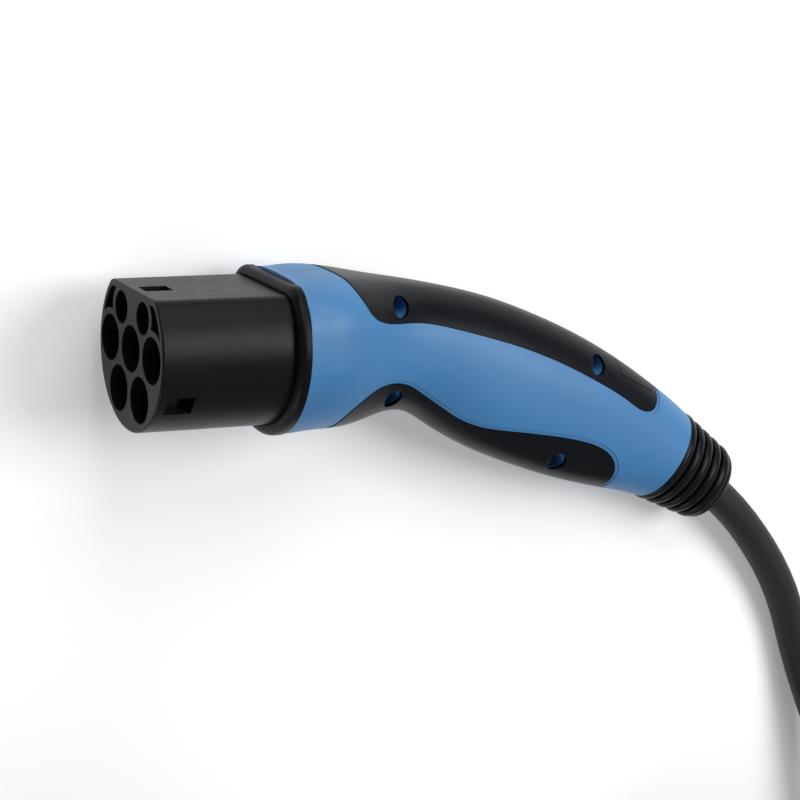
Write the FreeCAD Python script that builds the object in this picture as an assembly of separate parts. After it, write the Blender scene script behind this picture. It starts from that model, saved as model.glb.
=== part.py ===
import FreeCAD, Part
import math
import os
from FreeCAD import Matrix, Placement, Rotation, Vector

os.makedirs("parts", exist_ok=True)

# An electric car's charging cable: the hand-held connector, its cable wound up in a coil, and the plug
# for the charging post. All sizes are millimetres. Connector and plug are drawn in a frame of their own:
# X runs back along the nose from its face, Y to the right hand side and Z up to the flat of the nose.

# Clearances between pieces
CLEAR = 0.3
GRIP_GAP = 0.25

# How far a cutting shape reaches past the face it cuts, and the room that holds a whole handle
PAST = 1.0
HALF_SPACE = 60.0
HANDLE_SPACE = 300.0

# Nose with its seven holes
NOSE_RADIUS = 28.0
NOSE_FLAT = 20.0
NOSE_LENGTH = 51.5
NOSE_CORNER = 4.0
NOSE_EDGE = 0.7
TAIL_STEP = 3.0
TAIL_LENGTH = 9.0
FLANGE_STEP = 2.4
FLANGE_THICKNESS = 2.6
FLANGE_CORNER = 5.0
POWER_HOLE_RADIUS = 7.9
SIGNAL_HOLE_RADIUS = 5.5
HOLE_DEPTH = 30.0
MIDDLE_ROW_PITCH = 18.3
LOWER_ROW_DROP = 15.4
UPPER_ROW_RISE = 12.2
UPPER_ROW_PITCH = 18.9
POCKET_DEPTH = 12.0
POCKET_WALL = 2.1

# Pockets in the nose for the lock's bolt
LOCK_SETBACK = 3.2
LOCK_LENGTH = 9.8
LOCK_WIDTH = 7.4
LOCK_DEPTH = 4.6
LOCK_SHELF = 2.0
SIDE_LOCK_SHELF = 2.6
SIDE_LOCK_ANGLE = 31.0

# Socket contacts
PIN_RADIUS = 3.0
SIGNAL_PIN_RADIUS = 1.5
PIN_CLEARANCE = 0.08
CONTACT_WALL = 0.95
CONTACT_SETBACK = 12.0
CONTACT_BORE = 24.0
CONTACT_FLANGE = 1.6
BARREL_LENGTH = 12.5
BARREL_DEPTH = 8.0
RETAINER_THICKNESS = 3.5
RETAINER_SCREW_RADIUS = 1.4
RETAINER_SCREW_HEAD = (2.5, 1.8)
RETAINER_SCREW_HEIGHTS = (14.0, -20.5)
RETAINER_SCREW_LENGTH = 9.0
RESISTOR_RADIUS = 1.2
RESISTOR_LENGTH = 5.5
RESISTOR_LEAD = 0.35
RESISTOR_BACK = 4.0

# Collar in front of the handle
COLLAR_THICKNESS = 4.4
COLLAR_PROUD = 0.8
COLLAR_SINK = 1.0
COLLAR_CORNER = 9.0
COLLAR_EDGE = 2.7

# Handle: the outline stations run from the shell's front edge to the boot. Each gives how far back its
# middle lies, its height, the section's lean in degrees, the half width, the reach up and down from the
# middle, and how square the upper and the lower half are (2 is an ellipse).
SHELL_STEP = 3.0
SHELL_CROWN = 4.1
WALL = 2.6
LIP = 4.0
GRIP_DEPTH = 1.6
BORDER_WIDTH = 1.5
BORDER_DEPTH = 0.3
SEAM_WIDTH = 0.4
SEAM_DEPTH = 0.35
REAR_LEAN = 31.0
FRONT_HALF_WIDTH = NOSE_RADIUS + SHELL_STEP
STATIONS = [
    (0.0, 0.0, 0.0, FRONT_HALF_WIDTH, NOSE_FLAT + SHELL_CROWN, FRONT_HALF_WIDTH, 3.1, 2.0),
    (8.5, 0.0, 0.0, FRONT_HALF_WIDTH - 0.4, NOSE_FLAT + SHELL_CROWN + 0.2, FRONT_HALF_WIDTH, 3.3, 2.0),
    (22.4, -1.0, 2.0, 27.5, 24.9, 29.6, 3.0, 2.0),
    (32.5, -2.0, 5.0, 23.2, 24.3, 27.1, 2.6, 2.1),
    (43.5, -3.5, 10.0, 20.0, 24.1, 23.0, 2.4, 2.2),
    (56.9, -4.7, 16.0, 18.4, 22.9, 22.9, 2.3, 2.3),
    (70.7, -10.1, 21.0, 18.0, 25.1, 24.6, 2.3, 2.3),
    (88.6, -17.7, 22.5, 18.2, 26.5, 26.5, 2.3, 2.3),
    (106.5, -25.2, 23.5, 17.8, 26.3, 26.3, 2.3, 2.3),
    (124.5, -33.0, 24.5, 16.8, 24.7, 24.7, 2.3, 2.3),
    (141.7, -40.6, 26.0, 15.6, 21.8, 21.8, 2.2, 2.2),
    (154.5, -46.6, 29.0, 14.8, 19.1, 19.1, 2.1, 2.1),
    (160.8, -50.1, REAR_LEAN, 14.5, 17.7, 17.7, 2.0, 2.0),
]
SECTION_POINTS = 32

# Outlines of the rubber grips, seen from the side and measured back from the shell's front edge
TOP_GRIP_EDGE = [
    (20.3, 30.0), (20.3, 22.0), (22.4, 17.8), (26.2, 12.6), (31.5, 10.0), (38.0, 9.0), (46.5, 8.5),
    (59.0, 6.1), (72.0, 2.6), (88.0, -2.2), (104.5, -8.5), (122.0, -16.9), (137.5, -25.9),
    (143.6, -29.3), (148.0, -29.2), (151.0, -26.4), (153.0, -22.0), (157.0, -14.0),
]
LOW_GRIP_EDGE = [
    (19.0, -36.0), (18.8, -27.0), (20.8, -21.2), (25.0, -16.8), (29.5, -13.8), (34.5, -12.4),
    (40.0, -12.5), (45.0, -14.2), (50.5, -17.5), (58.5, -22.7), (68.3, -28.7), (76.5, -31.6),
    (86.5, -33.2), (102.5, -35.6), (117.5, -38.9), (126.5, -42.6), (131.5, -47.2), (133.4, -52.6),
    (132.6, -58.0), (130.0, -66.0),
]
GRIPS = {"top": (TOP_GRIP_EDGE, 40.0), "bottom": (LOW_GRIP_EDGE, -80.0)}
INLAY_OUTLINE = [(134.3, 10.0), (134.3, -15.8), (149.2, -23.4), (151.2, -20.0), (160.0, 0.0)]

# Screws that hold the two halves of the handle: back from the shell's front edge, and height
HANDLE_SCREWS = [(39.3, 14.0), (39.0, -18.5), (122.9, -11.5), (108.7, -46.5)]
HEAD_WELL_RADIUS = 3.5
BOSS_WALL = 1.7
SCREW_SEAT = 3.0
SCREW_HEAD_RADIUS = 3.1
SCREW_HEAD_HEIGHT = 2.4
SCREW_SHANK_RADIUS = 1.75
SCREW_REACH = 9.0
# A screw's hexagon socket as a share of its head's radius and height
DRIVE_WIDTH = 0.45
DRIVE_DEPTH = 0.5

# Ribbed boot, measured back from the end of the handle
CABLE_RADIUS = 6.5
BOOT_ROUNDNESS = 0.83
RIB_COUNT = 5
RIB_PITCH = 5.15
RIB_START = 0.1
FIRST_RIB_HEIGHT = 17.9
RIB_TAPER = 0.68
RIB_SLOPE = 0.9
RIB_ROUNDING = 0.5
GROOVE_WIDTH = 1.7
GROOVE_DEPTH = 2.2
GROOVE_SLANT = 0.3
BOOT_LENGTH = 27.8
CAP_TAPER = 0.8
CAP_ROUNDING = 3.4
BOOT_NECK_STEP = 5.0
BOOT_FLANGE = 2.6
BOOT_FLANGE_STEP = 1.5
BOOT_MOUTH = 8.4
BOOT_MOUTH_DEPTH = 18.0

# Cable clamp inside the handle, measured forward from the end of the handle
CLAMP_BACK = 11.0
CLAMP_LENGTH = 13.0
CLAMP_HALF_WIDTH = 10.6
CLAMP_HALF_HEIGHT = 9.0
CLAMP_SPLIT = 0.8
CLAMP_WALL = 2.5
CLAMP_SCREW_RADIUS = 1.3
CLAMP_SCREW_HEAD = (2.0, 2.0)
SHEATH_INSIDE = 30.0

# Insulated cores inside the handle
CORE_RADIUS = 1.7
PILOT_CORE_RADIUS = 0.9
CORE_CIRCLE = 3.6
# Bends of a core: back from the shell's front edge, how far it has closed in, and its height
CORE_BENDS = [(62.0, 1.15, -7.5), (84.0, 1.1, -14.5)]
FIRST_BEND = (42.0, 1.1, -3.0)
FIRST_BEND_SPREAD = (0.2, 0.05)
BARREL_EXIT = 6.0
SHEATH_RUN = 18.0

# Plug for the charging post
SHROUD_WALL = 3.2
SHROUD_LENGTH = 46.0
SHROUD_FLOOR = 6.0
SHROUD_CORNER = 6.0
PLUG_PIN_SETBACK = 9.0
PIN_TIP = 0.6

# How connector and plug lie, and where: the turn about the upright, then the place of the nose's face
LYING_CONNECTOR = (0.0, -120.3, 26.25)
LYING_PLUG = (0.0, -206.6, -228.8)

# Coil of cable, wound clockwise as seen from above
COIL_CENTRE = (124.8, -259.1)
COIL_MIDDLE_RADIUS = 66.0
COIL_COLUMNS = 3
COIL_LAYERS = 4
COIL_IN_ANGLE = 14.0
COIL_OUT_ANGLE = -121.0
COIL_STUB = 50.0
COIL_RISE = 0.0664
COIL_ROUNDING = 0.9
TIE_THICKNESS = 1.5
TIE_WIDTH = 20.0
TIE_ANGLES = (70.0, 250.0)
TIE_CORNER = 4.5

# Cable route: how far along each boot the cable's own solid starts and its first bend lies, then the
# points along the floor up to the coil
INSIDE_BOOT = 8.0
LEAD_BEND = 30.0
TAIL_BEND = 26.0
LEAD_POINTS = [
    (136.8, -58.8, 8.6),
    (154.2, -83.5, 6.9),
    (165.4, -116.2, 6.5),
]
LEAD_RUN = 28.0
# How much of the shorter of two runs a bend's arc takes up
BEND_SHARE = 0.45

CONTACTS = {
    "line_1": (-MIDDLE_ROW_PITCH, 0.0, True, 162.0),
    "neutral": (MIDDLE_ROW_PITCH, 0.0, True, 18.0),
    "earth": (0.0, 0.0, True, None),
    "line_2": (-MIDDLE_ROW_PITCH / 2, -LOWER_ROW_DROP, True, 234.0),
    "line_3": (MIDDLE_ROW_PITCH / 2, -LOWER_ROW_DROP, True, 306.0),
    "pilot": (-UPPER_ROW_PITCH / 2, UPPER_ROW_RISE, False, 90.0),
    "proximity": (UPPER_ROW_PITCH / 2, UPPER_ROW_RISE, False, None),
}

SHELL_FRONT = NOSE_LENGTH
TAIL_END = NOSE_LENGTH + TAIL_LENGTH
FLAT_OF_SHELL = NOSE_FLAT + SHELL_CROWN


def cylinder(radius, start, direction, length):
    return Part.makeCylinder(radius, length, start, direction)


def box(low, high):
    size = high - low
    return Part.makeBox(size.x, size.y, size.z, low)


def joined(shapes):
    whole = shapes[0]
    for shape in shapes[1:]:
        whole = whole.fuse(shape)
    return whole.removeSplitter()


def d_face(radius, flat, corner, x):
    """Round face with a flat on top whose two corners are rounded."""
    side = math.sqrt((radius - corner) ** 2 - (flat - corner) ** 2)
    reach = radius / (radius - corner)
    slant = math.atan2(flat - corner, side)
    middle = (slant + math.pi / 2) / 2

    def corner_arc(sign):
        centre = Vector(x, sign * side, flat - corner)
        half = centre + Vector(0, sign * math.cos(middle), math.sin(middle)) * corner
        tangent = Vector(x, sign * side * reach, (flat - corner) * reach)
        return Vector(x, sign * side, flat), half, tangent

    left, left_half, left_end = corner_arc(-1)
    right, right_half, right_end = corner_arc(1)
    edges = [
        Part.LineSegment(left, right).toShape(),
        Part.Arc(right, right_half, right_end).toShape(),
        Part.Arc(right_end, Vector(x, 0, -radius), left_end).toShape(),
        Part.Arc(left_end, left_half, left).toShape(),
    ]
    return Part.Face(Part.Wire(edges))


def d_prism(radius, flat, corner, start, end):
    return d_face(radius, flat, corner, start).extrude(Vector(end - start, 0, 0))


def rounded_front(shape, x, radius):
    front = [e for e in shape.Edges if e.BoundBox.XMax < x + 0.01]
    return shape.makeFillet(radius, front)


def hole_radius(is_power):
    return POWER_HOLE_RADIUS if is_power else SIGNAL_HOLE_RADIUS


def pin_radius(is_power):
    return PIN_RADIUS if is_power else SIGNAL_PIN_RADIUS


def sleeve_radius(is_power):
    return pin_radius(is_power) + PIN_CLEARANCE + CONTACT_WALL


def corner_pocket(side):
    """Pocket between a small hole, its big neighbour and the nose's outer wall."""
    room = d_prism(NOSE_RADIUS - POCKET_WALL, NOSE_FLAT - POCKET_WALL, NOSE_CORNER, -1, POCKET_DEPTH)
    for y, z, is_power, _ in CONTACTS.values():
        wall = hole_radius(is_power) + POCKET_WALL
        room = room.cut(cylinder(wall, Vector(-2 * PAST, y, z), Vector(1, 0, 0), POCKET_DEPTH + 4 * PAST))
    inner = UPPER_ROW_PITCH / 2 + POCKET_WALL
    keep = box(Vector(-3, inner, 2), Vector(POCKET_DEPTH + 1, NOSE_RADIUS + 5, NOSE_RADIUS))
    if side < 0:
        keep = keep.mirror(Vector(0, 0, 0), Vector(0, 1, 0))
    return room.common(keep)


def lock_pocket():
    """Stepped pocket in the flat of the nose, drawn at the top."""
    deep = box(
        Vector(LOCK_SETBACK, -LOCK_WIDTH / 2, NOSE_FLAT - LOCK_DEPTH),
        Vector(LOCK_SETBACK + LOCK_LENGTH / 2, LOCK_WIDTH / 2, NOSE_RADIUS + 1),
    )
    shallow = box(
        Vector(LOCK_SETBACK, -LOCK_WIDTH / 2, NOSE_FLAT - LOCK_SHELF),
        Vector(LOCK_SETBACK + LOCK_LENGTH, LOCK_WIDTH / 2, NOSE_RADIUS + 1),
    )
    return deep.fuse(shallow)


def side_lock_pocket(side):
    """The same kind of pocket, low on the round side of the nose."""
    deep = box(
        Vector(LOCK_SETBACK + LOCK_LENGTH / 2, -LOCK_WIDTH / 2, NOSE_RADIUS - LOCK_DEPTH),
        Vector(LOCK_SETBACK + LOCK_LENGTH, LOCK_WIDTH / 2, NOSE_RADIUS + 2),
    )
    shallow = box(
        Vector(LOCK_SETBACK, -LOCK_WIDTH / 2, NOSE_RADIUS - SIDE_LOCK_SHELF),
        Vector(LOCK_SETBACK + LOCK_LENGTH, LOCK_WIDTH / 2, NOSE_RADIUS + 2),
    )
    pocket = deep.fuse(shallow)
    pocket.rotate(Vector(0, 0, 0), Vector(1, 0, 0), -side * (90 + SIDE_LOCK_ANGLE))
    return pocket


def nose_housing():
    nose = d_prism(NOSE_RADIUS, NOSE_FLAT, NOSE_CORNER, 0, NOSE_LENGTH)
    nose = rounded_front(nose, 0, NOSE_EDGE)
    tail = d_prism(NOSE_RADIUS - TAIL_STEP, NOSE_FLAT - TAIL_STEP, NOSE_CORNER, NOSE_LENGTH - 1, TAIL_END)
    flange_start = NOSE_LENGTH + LIP
    flange_radius = NOSE_RADIUS - TAIL_STEP + FLANGE_STEP
    flange_flat = NOSE_FLAT - TAIL_STEP + FLANGE_STEP / 2
    flange = d_prism(flange_radius, flange_flat, FLANGE_CORNER, flange_start, flange_start + FLANGE_THICKNESS)
    housing = joined([nose, tail, flange])
    along = Vector(1, 0, 0)
    for y, z, is_power, _ in CONTACTS.values():
        housing = housing.cut(cylinder(hole_radius(is_power), Vector(-1, y, z), along, HOLE_DEPTH + 1))
        bore = sleeve_radius(is_power) + CLEAR
        housing = housing.cut(cylinder(bore, Vector(HOLE_DEPTH - 1, y, z), along, TAIL_END - HOLE_DEPTH + 2))
    hole = RETAINER_SCREW_RADIUS + CLEAR / 2
    for height in RETAINER_SCREW_HEIGHTS:
        start = Vector(TAIL_END - RETAINER_SCREW_LENGTH, 0, height)
        housing = housing.cut(cylinder(hole, start, along, RETAINER_SCREW_LENGTH + PAST))
    for side in (-1, 1):
        housing = housing.cut(corner_pocket(side))
        housing = housing.cut(side_lock_pocket(side))
    return housing.cut(lock_pocket())


def socket_contact(y, z, is_power):
    """Turned sleeve with a blind bore for the pin, a stop flange and a crimp barrel."""
    bore = pin_radius(is_power) + PIN_CLEARANCE
    outer = sleeve_radius(is_power)
    core = CORE_RADIUS if is_power else PILOT_CORE_RADIUS
    barrel = core + CLEAR + CONTACT_WALL
    flange = outer + CONTACT_WALL
    stop = TAIL_END + CONTACT_FLANGE
    end = stop + BARREL_LENGTH
    outline = [
        (CONTACT_SETBACK, bore + CONTACT_WALL / 2), (CONTACT_SETBACK + CONTACT_WALL / 2, outer),
        (TAIL_END, outer), (TAIL_END, flange), (stop, flange), (stop, barrel), (end, barrel),
        (end, core + CLEAR), (end - BARREL_DEPTH, core + CLEAR), (end - BARREL_DEPTH, 0),
        (CONTACT_SETBACK + CONTACT_BORE, 0), (CONTACT_SETBACK + CONTACT_BORE, bore), (CONTACT_SETBACK, bore),
    ]
    points = [Vector(x, r, 0) for x, r in outline]
    face = Part.Face(Part.makePolygon(points + points[:1]))
    contact = face.revolve(Vector(0, 0, 0), Vector(1, 0, 0), 360)
    contact.translate(Vector(0, y, z))
    return contact


def contact_retainer():
    start = TAIL_END + CONTACT_FLANGE
    radius = NOSE_RADIUS - TAIL_STEP
    plate = d_prism(radius, NOSE_FLAT - TAIL_STEP, NOSE_CORNER, TAIL_END, start + RETAINER_THICKNESS)
    through = CONTACT_FLANGE + RETAINER_THICKNESS + 2 * PAST
    along = Vector(1, 0, 0)
    for y, z, is_power, _ in CONTACTS.values():
        core = CORE_RADIUS if is_power else PILOT_CORE_RADIUS
        barrel = core + CLEAR + CONTACT_WALL
        seat = sleeve_radius(is_power) + CONTACT_WALL + CLEAR
        plate = plate.cut(cylinder(seat, Vector(TAIL_END - 1, y, z), along, CONTACT_FLANGE + 1))
        plate = plate.cut(cylinder(barrel + CLEAR, Vector(TAIL_END, y, z), along, through))
    for height in RETAINER_SCREW_HEIGHTS:
        under = Vector(TAIL_END - PAST, 0, height)
        plate = plate.cut(cylinder(RETAINER_SCREW_RADIUS + CLEAR / 2, under, along, through))
    return plate


def headed_screw(head_radius, head_height, shank_radius, length):
    """Screw along +X: its head lies behind the origin and its shank in front of it."""
    head = cylinder(head_radius, Vector(-head_height, 0, 0), Vector(1, 0, 0), head_height)
    shank = cylinder(shank_radius, Vector(-head_height / 2, 0, 0), Vector(1, 0, 0), length + head_height / 2)
    drive = cylinder(
        head_radius * DRIVE_WIDTH, Vector(-head_height - PAST, 0, 0), Vector(1, 0, 0),
        PAST + head_height * DRIVE_DEPTH,
    )
    return head.fuse(shank).cut(drive).removeSplitter()


def retainer_screws():
    seat = TAIL_END + CONTACT_FLANGE + RETAINER_THICKNESS
    screws = []
    for height in RETAINER_SCREW_HEIGHTS:
        length = CONTACT_FLANGE + RETAINER_THICKNESS + RETAINER_SCREW_LENGTH - 1
        screw = headed_screw(*RETAINER_SCREW_HEAD, RETAINER_SCREW_RADIUS, length)
        screw.rotate(Vector(0, 0, 0), Vector(0, 0, 1), 180)
        screw.translate(Vector(seat, 0, height))
        screws.append(screw)
    return Part.makeCompound(screws)


def coding_resistor():
    """Small resistor whose leads reach from the proximity contact's barrel to the earth's."""
    start = Vector(TAIL_END + CONTACT_FLANGE + RETAINER_THICKNESS + RESISTOR_BACK, *CONTACTS["proximity"][:2])
    end = Vector(start.x, *CONTACTS["earth"][:2])
    way = (end - start).normalize()
    gap = (end - start).Length
    first = PILOT_CORE_RADIUS + CLEAR + CONTACT_WALL + CLEAR
    last = CORE_RADIUS + CLEAR + CONTACT_WALL + CLEAR
    lead = cylinder(RESISTOR_LEAD, start + way * first, way, gap - first - last)
    middle = (first + gap - last - RESISTOR_LENGTH) / 2
    body = cylinder(RESISTOR_RADIUS, start + way * middle, way, RESISTOR_LENGTH)
    return body.fuse(lead).removeSplitter()


def front_collar():
    start = NOSE_LENGTH - COLLAR_THICKNESS
    outer = d_prism(
        FRONT_HALF_WIDTH + COLLAR_PROUD, FLAT_OF_SHELL - COLLAR_SINK, COLLAR_CORNER, start, NOSE_LENGTH
    )
    outer = rounded_front(outer, start, COLLAR_EDGE)
    inner = d_prism(NOSE_RADIUS + CLEAR, NOSE_FLAT + CLEAR, NOSE_CORNER, start - 1, NOSE_LENGTH + 1)
    return outer.cut(inner)


def station_wire(station, inset):
    """Closed section of the handle, drawn inset from its outer skin."""
    back, height, lean, half_width, up, down, square_up, square_down = station
    lean = math.radians(lean)
    points = []
    for i in range(SECTION_POINTS):
        angle = 2 * math.pi * i / SECTION_POINTS
        c = math.cos(angle)
        s = math.sin(angle)
        square = square_up if s > 0 else square_down
        reach = up if s > 0 else down
        y = (half_width - inset) * math.copysign(abs(c) ** (2 / square), c)
        v = (reach - inset) * math.copysign(abs(s) ** (2 / square), s)
        points.append(Vector(SHELL_FRONT + back + v * math.sin(lean), y, height + v * math.cos(lean)))
    curve = Part.BSplineCurve()
    curve.interpolate(Points=points, PeriodicFlag=True, Parameters=list(range(SECTION_POINTS + 1)))
    return Part.Wire(curve.toShape())


def handle_solid(inset):
    return Part.makeLoft([station_wire(s, inset) for s in STATIONS], True, False)


def rear_place():
    """Place of the handle's end: +X leaves the handle along the boot."""
    back, height = STATIONS[-1][:2]
    return Placement(Vector(SHELL_FRONT + back, 0, height), Rotation(Vector(0, 1, 0), REAR_LEAN))


def at_rear(shape):
    placed = shape.copy()
    placed.Placement = rear_place().multiply(placed.Placement)
    return placed


def spread_edge(edge, far, spread):
    """Outline of a grip moved outwards, away from the side where it is closed."""
    points = [Vector(SHELL_FRONT + x, -HALF_SPACE, z) for x, z in edge]
    before = [points[0]] + points[:-1]
    after = points[1:] + [points[-1]]
    outward = math.copysign(spread, far)
    moved = []
    for a, point, b in zip(before, points, after):
        way = (b - a).normalize()
        moved.append(point + Vector(way.z, 0, -way.x) * outward)
    return moved


def grip_region(name, spread=0.0):
    """Solid through the whole width whose side view is a grip's edge curve closed by straight lines."""
    edge, far = GRIPS[name]
    points = spread_edge(edge, far, spread)
    curve = Part.BSplineCurve()
    curve.interpolate(points)
    last = Vector(points[-1].x, -HALF_SPACE, far)
    corners = [points[-1], last, Vector(points[0].x, -HALF_SPACE, far), points[0]]
    lines = [Part.LineSegment(a, b).toShape() for a, b in zip(corners[:-1], corners[1:])]
    return Part.Face(Part.Wire([curve.toShape()] + lines)).extrude(Vector(0, 2 * HALF_SPACE, 0))


def inlay_region(spread=0.0):
    points = [Vector(SHELL_FRONT + x, -HALF_SPACE, z) for x, z in INLAY_OUTLINE]
    wire = Part.makePolygon(points + points[:1])
    if spread:
        wire = wire.makeOffset2D(spread)
    return Part.Face(wire).extrude(Vector(0, 2 * HALF_SPACE, 0))


def clamp_web():
    """Block of plastic that fills the handle around the cable clamp, with the clamp's pocket in it."""
    front = -CLAMP_BACK - CLAMP_LENGTH
    wide = HALF_SPACE
    web = box(Vector(front - CLAMP_WALL, -wide, -wide), Vector(-CLAMP_BACK + CLAMP_WALL, wide, wide))
    pocket = box(
        Vector(front - CLEAR, -CLAMP_HALF_WIDTH - CLEAR, -CLAMP_HALF_HEIGHT - CLAMP_SCREW_HEAD[1] - CLEAR),
        Vector(-CLAMP_BACK + CLEAR, CLAMP_HALF_WIDTH + CLEAR, CLAMP_HALF_HEIGHT + CLEAR),
    )
    passage = cylinder(CABLE_RADIUS + PAST, Vector(-HALF_SPACE, 0, 0), Vector(1, 0, 0), HALF_SPACE)
    return at_rear(web.cut(pocket).cut(passage))


def side_space(side, half_width=HALF_SPACE):
    """Space that holds the left (-1) or right (1) half of a handle, or with 0 a slab about its middle."""
    low = -half_width if side <= 0 else 0
    high = half_width if side >= 0 else 0
    return box(Vector(0, low, -2 * HALF_SPACE), Vector(HANDLE_SPACE, high, HALF_SPACE))


def screw_place(screw):
    back, height = screw
    return Vector(SHELL_FRONT + back, 0, height)


def handle_cavity():
    cavity = handle_solid(WALL)
    wide = HALF_SPACE
    lip = box(Vector(SHELL_FRONT - PAST, -wide, -wide), Vector(SHELL_FRONT + LIP, wide, wide))
    rear = at_rear(box(Vector(-LIP, -wide, -wide), Vector(wide, wide, wide)))
    cavity = cavity.cut(lip).cut(rear).cut(clamp_web())
    for screw in HANDLE_SCREWS:
        foot = screw_place(screw) - Vector(0, HALF_SPACE, 0)
        cavity = cavity.cut(cylinder(HEAD_WELL_RADIUS + BOSS_WALL, foot, Vector(0, 1, 0), 2 * HALF_SPACE))
    return cavity


def boot_neck(spread, start, end):
    radius = FIRST_RIB_HEIGHT - BOOT_NECK_STEP + spread
    neck = Part.makeCylinder(radius, end - start, Vector(start, 0, 0), Vector(1, 0, 0))
    squeeze = Matrix()
    squeeze.scale(1, BOOT_ROUNDNESS, 1)
    return neck.transformGeometry(squeeze)


def handle_halves(outer):
    """Left and right half of the handle's shell, with seats for the grips, screws, nose, clamp and boot."""
    seat_floor = handle_solid(GRIP_DEPTH + CLEAR)
    border_floor = handle_solid(BORDER_DEPTH)
    shell = outer
    for name in GRIPS:
        shell = shell.cut(grip_region(name, BORDER_WIDTH).cut(border_floor))
        shell = shell.cut(grip_region(name, GRIP_GAP).cut(seat_floor))
    seam = side_space(0, SEAM_WIDTH / 2)
    shell = shell.cut(seam.cut(handle_solid(SEAM_DEPTH)))
    shell = shell.cut(handle_cavity())
    tail = NOSE_RADIUS - TAIL_STEP + CLEAR
    shell = shell.cut(
        d_prism(tail, NOSE_FLAT - TAIL_STEP + CLEAR, NOSE_CORNER, SHELL_FRONT - 2, SHELL_FRONT + LIP + 2)
    )
    shell = shell.cut(at_rear(boot_neck(CLEAR, -LIP - 2, 2)))
    left = shell.common(side_space(-1))
    right = shell.common(side_space(1))
    across = Vector(0, 1, 0)
    hole = SCREW_SHANK_RADIUS + CLEAR / 2
    for screw in HANDLE_SCREWS:
        middle = screw_place(screw)
        foot = middle - across * HALF_SPACE
        left = left.cut(cylinder(HEAD_WELL_RADIUS, foot, across, HALF_SPACE - SCREW_SEAT))
        left = left.cut(cylinder(hole, foot, across, HALF_SPACE + PAST))
        right = right.cut(cylinder(hole, middle - across * PAST, across, SCREW_REACH + 2 * PAST))
    return left, right


def handle_screws():
    screws = []
    for place in HANDLE_SCREWS:
        screw = headed_screw(
            SCREW_HEAD_RADIUS, SCREW_HEAD_HEIGHT, SCREW_SHANK_RADIUS, SCREW_SEAT + SCREW_REACH - CLEAR
        )
        screw.rotate(Vector(0, 0, 0), Vector(0, 0, 1), 90)
        screw.translate(screw_place(place) - Vector(0, SCREW_SEAT, 0))
        screws.append(screw)
    return Part.makeCompound(screws)


def grips(outer):
    """Rubber pads over the back and the belly of the handle, each in a left and a right piece."""
    layer = outer.cut(handle_solid(GRIP_DEPTH))
    pieces = {}
    for name in GRIPS:
        pad = layer.common(grip_region(name))
        if name == "top":
            pad = pad.cut(inlay_region(GRIP_GAP))
        left = pad.common(side_space(-1))
        for screw in HANDLE_SCREWS:
            foot = screw_place(screw) - Vector(0, HALF_SPACE, 0)
            left = left.cut(cylinder(HEAD_WELL_RADIUS, foot, Vector(0, 1, 0), HALF_SPACE))
        pieces["grip_" + name + "_left"] = left
        pieces["grip_" + name + "_right"] = pad.common(side_space(1))
    pieces["grip_inlay"] = layer.common(inlay_region())
    return pieces


def lines_through(points):
    corners = [Vector(x, 0, r) for x, r in points]
    return [Part.LineSegment(a, b).toShape() for a, b in zip(corners[:-1], corners[1:])]


def arc_through(first, middle, last):
    return Part.Arc(*[Vector(x, 0, r) for x, r in (first, middle, last)]).toShape()


def boot():
    """Ribbed rubber sleeve around the cable, with a neck and a flange held in the end of the handle."""
    root = FIRST_RIB_HEIGHT - GROOVE_DEPTH
    first = FIRST_RIB_HEIGHT - RIB_ROUNDING
    edges = lines_through([(-PAST, 0), (-PAST, root), (RIB_START, root), (RIB_START, first)])
    for i in range(RIB_COUNT - 1):
        crest = FIRST_RIB_HEIGHT - RIB_TAPER * i
        start = RIB_START + RIB_PITCH * i
        end = start + RIB_PITCH - GROOVE_WIDTH
        root = crest - GROOVE_DEPTH - RIB_TAPER
        next_rib = crest - RIB_TAPER - RIB_ROUNDING
        edges.append(arc_through((start, crest - RIB_ROUNDING), (start + 1, crest), (end, crest - RIB_SLOPE)))
        edges += lines_through([
            (end, crest - RIB_SLOPE), (end + GROOVE_SLANT, root), (start + RIB_PITCH, root),
            (start + RIB_PITCH, next_rib),
        ])
    crest = FIRST_RIB_HEIGHT - RIB_TAPER * (RIB_COUNT - 1)
    start = RIB_START + RIB_PITCH * (RIB_COUNT - 1)
    shoulder = BOOT_LENGTH - CAP_ROUNDING
    low = crest - CAP_TAPER
    bulge = CAP_ROUNDING * math.sqrt(0.5)
    edges.append(arc_through((start, crest - RIB_ROUNDING), (start + 1.5, crest), (shoulder, low)))
    edges.append(arc_through(
        (shoulder, low), (shoulder + bulge, low - CAP_ROUNDING + bulge), (BOOT_LENGTH, low - CAP_ROUNDING)
    ))
    edges += lines_through([(BOOT_LENGTH, low - CAP_ROUNDING), (BOOT_LENGTH, 0), (-PAST, 0)])
    body = Part.Face(Part.Wire(edges)).revolve(Vector(0, 0, 0), Vector(1, 0, 0), 360)
    squeeze = Matrix()
    squeeze.scale(1, BOOT_ROUNDNESS, 1)
    body = body.transformGeometry(squeeze)
    body = body.cut(box(Vector(-HALF_SPACE, -HALF_SPACE, -HALF_SPACE), Vector(0, HALF_SPACE, HALF_SPACE)))
    neck = boot_neck(0, -LIP - BOOT_FLANGE, 1)
    flange = boot_neck(BOOT_FLANGE_STEP, -LIP - BOOT_FLANGE, -LIP)
    whole = joined([body, neck, flange])
    bore = cylinder(CABLE_RADIUS + CLEAR, Vector(-HALF_SPACE, 0, 0), Vector(1, 0, 0), 2 * HALF_SPACE)
    mouth = Part.makeCone(
        CABLE_RADIUS + CLEAR, BOOT_MOUTH, BOOT_MOUTH_DEPTH, Vector(BOOT_LENGTH - BOOT_MOUTH_DEPTH, 0, 0),
        Vector(1, 0, 0),
    )
    return at_rear(whole.cut(bore).cut(mouth.transformGeometry(squeeze)))


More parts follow.
